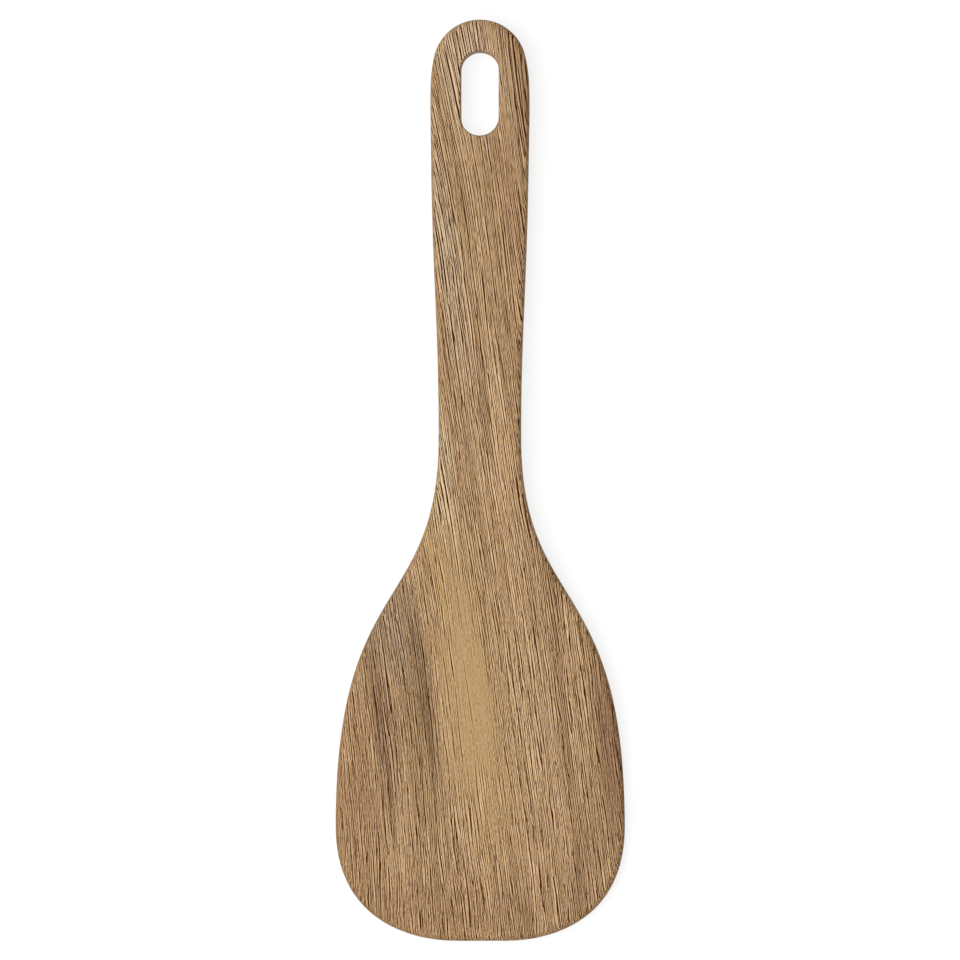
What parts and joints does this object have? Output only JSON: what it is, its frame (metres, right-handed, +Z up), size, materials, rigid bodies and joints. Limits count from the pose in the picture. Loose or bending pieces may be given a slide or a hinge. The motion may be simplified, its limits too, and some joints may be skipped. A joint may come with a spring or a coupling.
{
  "type": "rice paddle",
  "caption": "One-piece wooden rice paddle: a broad, square-shouldered blade that thins to its tip, a slim neck and a flat handle with a hanging slot.",
  "frame": {"origin": "under the middle of the paddle, on the plane of its flat back", "axes": "+Z up, out of the paddle's face; +Y along its length, towards the end of the handle; +X across it"},
  "size_m": [0.0692, 0.22, 0.008],
  "materials": {
    "wood": "sanded and oiled acacia, satin, open pores"
  },
  "bodies": {
    "root": {"paddle": "wood"}
  },
  "joints": []
}
